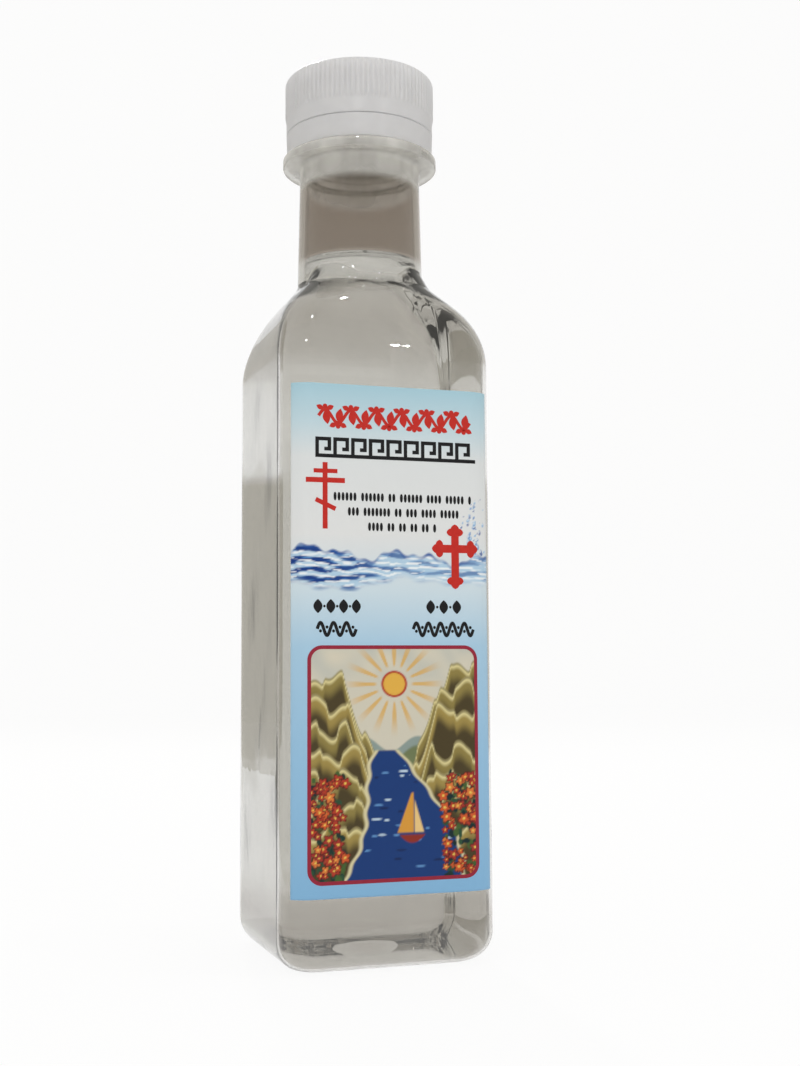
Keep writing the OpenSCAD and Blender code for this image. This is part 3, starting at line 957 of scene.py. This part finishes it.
def picture_frame(low, high, corner, half):
    """The rounded frame of the picture, in four strips that meet at the middles of its sides."""
    (x0, z0), (x1, z1) = low, high
    turn = np.linspace(0, QUARTER, 12)
    strips = []
    for k, (x, z) in enumerate(((x1 - corner, z1 - corner), (x0 + corner, z1 - corner),
                                (x0 + corner, z0 + corner), (x1 - corner, z0 + corner))):
        angle = turn + QUARTER * k
        bend = np.stack([x + corner * np.cos(angle), z + corner * np.sin(angle)], -1)
        middle = np.array(((x0 + x1) / 2, (z0 + z1) / 2))
        first = np.where(np.arange(2) == k % 2, bend[0], middle)
        final = np.where(np.arange(2) == (k + 1) % 2, bend[-1], middle)
        path = np.concatenate([np.linspace(first, bend[0], 12, endpoint=False), bend,
                               np.linspace(bend[-1], final, 13)[1:]])
        strips.append((path, np.full(len(path), half)))
    return strips


class MakeBottle(bpy.types.Operator):
    """Makes the blown bottle with its base, shoulder, neck, ring, bead and thread"""

    bl_idname = "bottle.make_bottle"
    bl_label = "Bottle"

    def execute(self, context):
        sizes = context.scene.bottle_sizes
        angles = side_angles(sizes)
        radius, height = bottle_surface(sizes, context.scene.bottle_thread, angles)
        piece = turned_surface("pet_bottle", radius, height, angles, clear_pet(),
                               (sizes.dome_height, sizes.dome_height + sizes.wall))
        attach(piece, "bottle")
        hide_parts("bottle")
        return {"FINISHED"}


class MakeWater(bpy.types.Operator):
    """Makes the filling of water with its meniscus"""

    bl_idname = "bottle.make_water"
    bl_label = "Water"

    def execute(self, context):
        sizes = context.scene.bottle_sizes
        angles = side_angles(sizes)
        gap = WATER_LOW.z - (BOTTLE_LOW.z + sizes.wall)
        radius, height = water_surface(sizes, angles, WATER_HIGH.z - MENISCUS, gap)
        piece = turned_surface("holy_water_fill", radius, height, angles, still_water(),
                               (sizes.dome_height + sizes.wall + gap, height[-1]))
        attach(piece, "bottle")
        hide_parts("holy_water")
        return {"FINISHED"}


class MakeCap(bpy.types.Operator):
    """Makes the ribbed screw cap with its inner thread"""

    bl_idname = "bottle.make_cap"
    bl_label = "Screw cap"

    def execute(self, context):
        cap, thread = context.scene.bottle_cap, context.scene.bottle_thread
        foot, top, outer = CAP_LOW.z, CAP_HIGH.z, CAP_HIGH.x
        under, small = top - cap.top, 0.2 * MM
        skirt = outer - cap.rib_depth
        # The top sinks a little inside a rim, and a gate mark stands up in its middle
        rim, slope, sink = outer - 1.9 * MM, outer - 2.2 * MM, top - 0.2 * MM
        gate, gate_top = 1.6 * MM, 0.6 * MM
        angles = np.linspace(0, TURN, 8 * cap.ribs, endpoint=False)
        inside = line((cap.bore, under - small), (cap.bore, foot + small), 52)
        outside = line((skirt, foot + small), (outer, top - cap.edge), 30)
        path = np.concatenate([
            line((1.0 * MM, under), (cap.bore - small, under), 8),
            arc((cap.bore - small, under - small), small, QUARTER, 0, 4), inside,
            line((cap.bore, foot + small), (cap.bore + small, foot), 2),
            line((cap.bore + small, foot), (skirt - small, foot), 3),
            arc((skirt - small, foot + small), small, -QUARTER, 0, 4), outside,
            arc((outer - cap.edge, top - cap.edge), cap.edge, 0, QUARTER, 9),
            line((outer - cap.edge, top), (rim, top - 0.05 * MM), 2),
            line((rim, top - 0.05 * MM), (slope, sink), 3),
            line((slope, sink), (gate, sink), 8),
            line((gate, sink), (gate_top, top - 0.08 * MM), 4)])
        ribbed = smoothstep(cap.rib_end - 0.4 * MM, cap.rib_end + 0.6 * MM, path[:, 1])
        fading = 1 - 0.75 * smoothstep(top - cap.edge, sink, path[:, 1])
        on_side = (path[:, 0] > skirt - small) * fading
        groove = smoothstep(-0.55, 0.35, np.cos(cap.ribs * angles))[None, :]
        on_edge = path[:, 1] > top - cap.edge
        on_skirt = (path[:, 0] > skirt + 1e-7) & ~on_edge
        side = np.where(on_skirt, skirt + cap.rib_depth * ribbed, path[:, 0])
        relief = thread_relief(angles, path[:, 1], thread, thread.start - thread.lead / 2)
        relief[np.abs(path[:, 0] - cap.bore) > 1e-6] = 0
        radius = side[:, None] - cap.rib_depth * (ribbed * on_side)[:, None] * (1 - groove) - relief
        piece = turned_surface("screw_cap_moulding", radius, path[:, 1], angles, natural_polypropylene(),
                               (under, top - 0.05 * MM))
        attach(piece, "cap")
        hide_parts("screw_cap")
        return {"FINISHED"}


class MakeBand(bpy.types.Operator):
    """Makes the tamper band with its catching lip and its bridges"""

    bl_idname = "bottle.make_band"
    bl_label = "Tamper band"

    def execute(self, context):
        cap = context.scene.bottle_cap
        foot, outer, small = BAND_LOW.z, BAND_HIGH.x, 0.15 * MM
        angles = np.linspace(0, TURN, 240, endpoint=False)
        lower = outer - small
        path = np.concatenate([
            line((cap.band_bore + small, foot), (lower - small, foot), 3),
            arc((lower - small, foot + small), small, -QUARTER, 0, 5),
            line((lower, foot + small), (outer, cap.band_top - small), 16),
            arc((outer - small, cap.band_top - small), small, 0, QUARTER, 5),
            line((outer - small, cap.band_top), (cap.band_bore + small, cap.band_top), 3),
            arc((cap.band_bore + small, cap.band_top - small), small, QUARTER, 2 * QUARTER, 5),
            line((cap.band_bore, cap.band_top - small), (cap.band_bore, cap.lip_z + cap.lip_tall), 5),
            line((cap.band_bore, cap.lip_z + cap.lip_tall), (cap.lip, cap.lip_z + cap.lip_tall), 4),
            line((cap.lip, cap.lip_z + cap.lip_tall), (cap.band_bore, cap.lip_z), 5),
            line((cap.band_bore, cap.lip_z), (cap.band_bore, foot + small), 3)])
        radius = np.repeat(path[:, :1], len(angles), 1)
        material = natural_polypropylene()
        piece = turned_surface("tamper_ring", radius, path[:, 1], angles, material)
        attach(piece, "band")
        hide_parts("tamper_band")
        bridges = self.bridges(cap, outer, material)
        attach(bridges, "band")
        return {"FINISHED"}

    def bridges(self, cap, outer, material):
        """The torn bridges: small blocks that taper upwards, spaced evenly round the top of the band."""
        turn = TURN * np.arange(cap.bridges) / cap.bridges
        low, high = cap.band_top - 0.05 * MM, BAND_HIGH.z
        middle = (cap.band_bore + outer) / 2
        square = np.array([(-1, -1), (1, -1), (1, 1), (-1, 1)]) * np.array((0.3, 0.4)) * MM
        corners = np.concatenate([np.column_stack([square, np.full(4, low)]),
                                  np.column_stack([0.75 * square, np.full(4, high)])])
        corners[:, 0] += middle
        x, y = corners[:, 0], corners[:, 1]
        spun = np.stack([np.cos(turn)[:, None] * x - np.sin(turn)[:, None] * y,
                         np.sin(turn)[:, None] * x + np.cos(turn)[:, None] * y,
                         np.broadcast_to(corners[:, 2], (cap.bridges, 8))], -1).reshape(-1, 3)
        block = np.array([(3, 2, 1, 0), (4, 5, 6, 7), (0, 1, 5, 4), (1, 2, 6, 5), (2, 3, 7, 6), (3, 0, 4, 7)])
        quads = (block[None] + 8 * np.arange(cap.bridges)[:, None, None]).reshape(-1, 4)
        return mesh_object("tamper_bridges", spun, quads, np.zeros((0, 3), int), material, smooth=False)


class FinishLiner(bpy.types.Operator):
    """Gives the sealing liner its foam finish"""

    bl_idname = "bottle.finish_liner"
    bl_label = "Cap liner"

    def execute(self, context):
        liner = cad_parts["cap_liner"]
        liner.data.materials.clear()
        liner.data.materials.append(liner_foam())
        return {"FINISHED"}


class MakeLabel(bpy.types.Operator):
    """Makes the label paper and the print on it"""

    bl_idname = "bottle.make_label"
    bl_label = "Front label"

    def execute(self, context):
        sizes, label = context.scene.bottle_sizes, context.scene.bottle_label
        left, right = label_ends(sizes, label)
        self.paper(sizes, label, left, right)
        self.ink(sizes, label, left, right)
        return {"FINISHED"}

    def paper(self, sizes, label, left, right):
        """The paper: a closed thin sheet carried round the front, with two faces and a rim."""
        across = np.linspace(left, right, 120)
        height = np.linspace(LABEL_LOW.z, LABEL_HIGH.z, 60)
        x, z = np.meshgrid(across, height)
        back = label_wrap(sizes, x, z, label.glue)
        front = label_wrap(sizes, x, z, label.glue + label.paper)
        rows, columns = x.shape
        points = np.concatenate([front.reshape(-1, 3), back.reshape(-1, 3)])
        face = grid_quads(rows, columns)
        rim = np.concatenate([np.arange(columns), columns * np.arange(1, rows) + columns - 1,
                              (rows - 1) * columns + np.arange(columns - 2, -1, -1),
                              columns * np.arange(rows - 2, 0, -1)])
        after = np.roll(rim, -1)
        edge = np.stack([after, rim, rim + rows * columns, after + rows * columns], -1)
        quads = np.concatenate([face, face[:, ::-1] + rows * columns, edge])
        piece = mesh_object("label_stock", points, quads, np.zeros((0, 3), int), label_paper())
        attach(piece, "bottle")
        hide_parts("front_label")

    def ink(self, sizes, label, left, right):
        """The printed face: a fine grid just above the paper, whose rim turns down onto it.

        Colours are painted on its points."""
        columns = int((right - left) / label.grain)
        rows = int((LABEL_HIGH.z - LABEL_LOW.z) / label.grain)
        across, height = np.linspace(left, right, columns), np.linspace(LABEL_LOW.z, LABEL_HIGH.z, rows)
        for line_of_points in (across, height):
            line_of_points[[1, -2]] = line_of_points[[0, -1]] + np.array((1, -1)) * label.ink
        x, z = np.meshgrid(across, height)
        rim = np.zeros_like(x, bool)
        rim[[0, -1], :] = True
        rim[:, [0, -1]] = True
        off = label.glue + label.paper + np.where(rim, -label.ink, label.ink)
        points = label_wrap(sizes, x, z, off).reshape(-1, 3)
        piece = mesh_object("label_print", points, grid_quads(rows, columns), np.zeros((0, 3), int),
                            printed_label())
        paint = piece.data.color_attributes.new("print", "FLOAT_COLOR", "POINT")
        rgb = paint_label(x.ravel() / MM, z.ravel() / MM)
        paint.data.foreach_set("color", np.column_stack([rgb, np.ones(len(rgb))]).astype(np.float32).ravel())
        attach(piece, "bottle")


class MakeOrnaments(bpy.types.Operator):
    """Makes the solid-ink ornaments: crosses, rows of pattern and the picture's frame"""

    bl_idname = "bottle.make_ornaments"
    bl_label = "Label ornaments"

    def execute(self, context):
        sizes, label = context.scene.bottle_sizes, context.scene.bottle_label
        ink = context.scene.bottle_finishes
        off = label.glue + label.paper
        # Places and sizes in millimetres on the label
        beads = [(-11.9, 16.2, 91.3, 0.85), (-9.0, 13.5, 88.4, 0.85), (-4.9, 9.4, 85.5, 0.85)]
        groups = (
            ("red_crosses", three_bar_cross() + budded_cross(), "red spot ink", ink.red),
            ("red_vine", vine_row(-15.2, 16.3, 107.0), "red vine ink", ink.red),
            ("black_meander", key_row(-15.5, 17.1, 99.2, 3.3, 9), "black line ink", ink.black),
            ("black_beads", bead_rows(beads, 5), "black bead ink", ink.black),
            ("black_waves", wave_row(-15.5, -7.7, 65.5, 1.25, 3) + wave_row(4.0, 16.6, 65.5, 1.25, 5),
             "black wave ink", ink.black),
            ("black_lozenges",
             lozenge_row(-16.4, -6.6, 69.9, 1.05, 4) + lozenge_row(6.6, 14.2, 69.9, 1.05, 3),
             "black ornament ink", ink.black),
            ("crimson_frame", picture_frame(PICTURE_LOW, PICTURE_HIGH, PICTURE_CORNER, 0.36),
             "crimson frame ink", ink.crimson),
        )
        for name, strips, finish, rgb in groups:
            piece = ribbons(sizes, name, strips, spot_ink(finish, rgb), off, label.relief)
            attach(piece, "bottle")
        return {"FINISHED"}


STUDIO_GREY = "#C8C5BD"
# What glossy and clear pieces show of the studio, as (height of the direction, colour): a light band
STUDIO_WALL = ((0.0, STUDIO_GREY), (0.13, STUDIO_GREY), (0.137, "#FFFFFF"), (0.19, "#FFFFFF"),
               (0.22, "#D8D6D1"), (0.35, "#D0CEC8"), (1.0, "#C6C4BE"))
# Where the floor turns grey in clear pieces, in metres: left of FLOOR_LEFT, and right of FLOOR_RIGHT or of
# FLOOR_START + FLOOR_SLANT y, whichever is further right
FLOOR_LEFT, FLOOR_RIGHT, FLOOR_SLANT, FLOOR_START = -0.145, 0.61, 0.8, 0.05
# Share of plain white in the paper. The rest takes the lamps' light and so the shadow.
PAPER_GLOW = 0.92
# Point near the middle of the bottle that the lamps are turned to
LAMP_AIM = (0, 0, 0.09)
# Lamps as (name, place, size, power in watts)
LAMPS = (
    ("camera_lamp", (-0.3, -0.8, 0.6), 0.05, 0.95),
    ("front_lamp", (0.45, -1.25, 0.72), 0.015, 0.85),
    ("ceiling_lamp_left", (-0.3, -0.5, 1.5), 0.05, 1.1),
    ("ceiling_lamp_right", (0.35, -0.25, 1.5), 0.05, 1.1),
    ("back_lamp", (0.1, 0.8, 0.8), 0.06, 2.4),
)


class MakeStage(bpy.types.Operator):
    """Makes the pale floor and backdrop, the soft lights and the camera"""

    bl_idname = "bottle.make_stage"
    bl_label = "Stage"

    def execute(self, context):
        self.sweep(context)
        self.world(context)
        self.lights(context)
        self.camera(context)
        context.scene.view_settings.view_transform = "Standard"
        return {"FINISHED"}

    def sweep(self, context):
        """Floor and backdrop in one sheet: level, then a quarter circle, then upright.

        Across, the sheet runs from low to high: the floor is wide, and the upright part is only as wide as
        the picture, so that the clear plastic shows the grey studio beside it along its edges."""
        front, back, bend, tall = -1.6, 2.0, 0.25, 1.5
        floor_left, floor_right, upright_left, upright_right = -1.6, 1.7, -0.07, 1.66
        path = np.concatenate([
            line((front, 0.0), (back - bend, 0.0), 14), arc((back - bend, bend), bend, -QUARTER, 0, 16),
            np.linspace((back, bend), (back, tall), 10)])
        upright = smoothstep(back - 1.1, back - 0.5, path[:, :1])
        low = floor_left + (upright_left - floor_left) * upright
        high = floor_right + (upright_right - floor_right) * upright
        across = np.linspace(0, 1, 16)[None, :]
        x = low + (high - low) * across
        y, z = (np.broadcast_to(path[:, k:k + 1], x.shape) for k in (0, 1))
        points = np.stack([x, y, z], -1).reshape(-1, 3)
        floor = mesh_object("studio_sweep", points, grid_quads(*x.shape), np.zeros((0, 3), int),
                            self.sweep_paper(context.scene.bottle_finishes.floor))

    def sweep_paper(self, rgb):
        """Matt seamless paper, white with a soft shadow to the camera and in what clear pieces show of it.

        In clear pieces only the part near the bottle is white: further off on both sides it is grey."""
        material, tree, surface = new_material("matt seamless paper")
        ray = add_node(tree, "ShaderNodeLightPath").outputs
        seen = maths(tree, "MAXIMUM", ray["Is Camera Ray"], ray["Is Glossy Ray"])
        shown = maths(tree, "MAXIMUM", seen, ray["Is Transmission Ray"])
        place = add_node(tree, "ShaderNodeSeparateXYZ", links={"Vector": object_place(tree)}).outputs
        slant = maths(tree, "MULTIPLY_ADD", place["Y"], FLOOR_SLANT, FLOOR_START)
        right = maths(tree, "GREATER_THAN", place["X"], maths(tree, "MAXIMUM", slant, FLOOR_RIGHT))
        left = maths(tree, "LESS_THAN", place["X"], FLOOR_LEFT)
        aside = maths(tree, "MAXIMUM", right, left)
        far = maths(tree, "SUBTRACT", aside, ray["Is Camera Ray"], clamp=True)
        tone = add_node(tree, "ShaderNodeMix", {"A": linear("#FFFFFF"), "B": linear(STUDIO_GREY)},
                        {"Factor": far}, data_type="RGBA")
        white = add_node(tree, "ShaderNodeEmission", {"Strength": 1.0}, {"Color": tone.outputs[2]})
        paper = add_node(tree, "ShaderNodeBsdfDiffuse", {"Color": opaque(rgb)})
        share = maths(tree, "MULTIPLY", shown, PAPER_GLOW)
        both = mix_shaders(tree, share, paper.outputs["BSDF"], white.outputs["Emission"])
        tree.links.new(both, surface)
        return material

    def world(self, context):
        """A grey studio round the sweep, white to the camera. Glossy and clear pieces show its wall."""
        world = bpy.data.worlds.new("grey studio")
        world.use_nodes = True
        tree = world.node_tree
        ray = add_node(tree, "ShaderNodeLightPath").outputs
        shown = maths(tree, "MAXIMUM", ray["Is Glossy Ray"], ray["Is Transmission Ray"])
        place = add_node(tree, "ShaderNodeTexCoord").outputs["Generated"]
        upward = add_node(tree, "ShaderNodeSeparateXYZ", links={"Vector": place}).outputs["Z"]
        wall = ramp(tree, upward, [(height, linear(hexes)) for height, hexes in STUDIO_WALL])
        tint = add_node(tree, "ShaderNodeMix", {"A": linear("#DBD9D5")}, {"Factor": shown, "B": wall},
                        data_type="RGBA")
        plain = add_node(tree, "ShaderNodeMix", {"B": linear("#FBFBFA")},
                         {"Factor": ray["Is Camera Ray"], "A": tint.outputs[2]}, data_type="RGBA")
        tree.links.new(plain.outputs[2], tree.nodes["Background"].inputs["Color"])
        context.scene.world = world

    def lights(self, context):
        """Small lamps, each turned to the middle of the bottle."""
        for name, place, size, power in LAMPS:
            lamp = bpy.data.lights.new(name, "AREA")
            lamp.energy, lamp.size = power, size
            box = bpy.data.objects.new(name, lamp)
            box.location = place
            box.rotation_euler = (Vector(LAMP_AIM) - Vector(place)).to_track_quat("-Z", "Y").to_euler()
            context.scene.collection.objects.link(box)

    def camera(self, context):
        """The camera looks at its aim from the given angles: its axes are right, up and back."""
        view = context.scene.bottle_view
        turn, tilt, roll = view.azimuth, view.elevation, view.roll
        back = np.array((np.sin(turn) * np.cos(tilt), -np.cos(turn) * np.cos(tilt), np.sin(tilt)))
        level = np.array((np.cos(turn), np.sin(turn), 0))
        upright = np.cross(back, level)
        right = np.cos(roll) * level + np.sin(roll) * upright
        up = np.cos(roll) * upright - np.sin(roll) * level
        eye = np.array((view.aim_x, 0, view.aim_z)) + view.distance * back
        lens = bpy.data.cameras.new("photo_camera")
        lens.sensor_fit = "VERTICAL"
        lens.sensor_height = 36
        lens.lens = view.focal
        lens.clip_start = 0.01
        camera = bpy.data.objects.new("photo_camera", lens)
        place = np.vstack([np.column_stack([right, up, back, eye]), (0, 0, 0, 1)])
        camera.matrix_world = Matrix(place.tolist())
        context.scene.collection.objects.link(camera)
        context.scene.camera = camera


class BottlePanel(bpy.types.Panel):
    """Lists the pieces and their sizes"""

    bl_idname = "BOTTLE_PT_pieces"
    bl_label = "Square water bottle"
    bl_space_type = "VIEW_3D"
    bl_region_type = "UI"
    bl_category = "Bottle"

    def draw(self, context):
        for maker in OPERATORS:
            self.layout.operator(maker.bl_idname)
        for name, group in GROUPS.items():
            box = self.layout.box()
            for key in group.__annotations__:
                box.prop(getattr(context.scene, name), key)


GROUPS = {"bottle_sizes": BottleSizes, "bottle_thread": ThreadSizes, "bottle_cap": CapSizes,
          "bottle_label": LabelSizes, "bottle_finishes": Finishes, "bottle_view": ViewSizes}
OPERATORS = (MakeStage, MakeBottle, MakeWater, MakeCap, MakeBand, FinishLiner, MakeLabel, MakeOrnaments)


def register():
    for item in (*GROUPS.values(), *OPERATORS, BottlePanel):
        bpy.utils.register_class(item)
    for name, group in GROUPS.items():
        setattr(bpy.types.Scene, name, PointerProperty(type=group))


def unregister():
    for name in GROUPS:
        delattr(bpy.types.Scene, name)
    for item in reversed((*GROUPS.values(), *OPERATORS, BottlePanel)):
        bpy.utils.unregister_class(item)


def main():
    register()
    for maker in OPERATORS:
        group, name = maker.bl_idname.split(".")
        if getattr(getattr(bpy.ops, group), name)() != {"FINISHED"}:
            raise RuntimeError(f"{maker.bl_label} was not made")


if __name__ == "__main__":
    main()
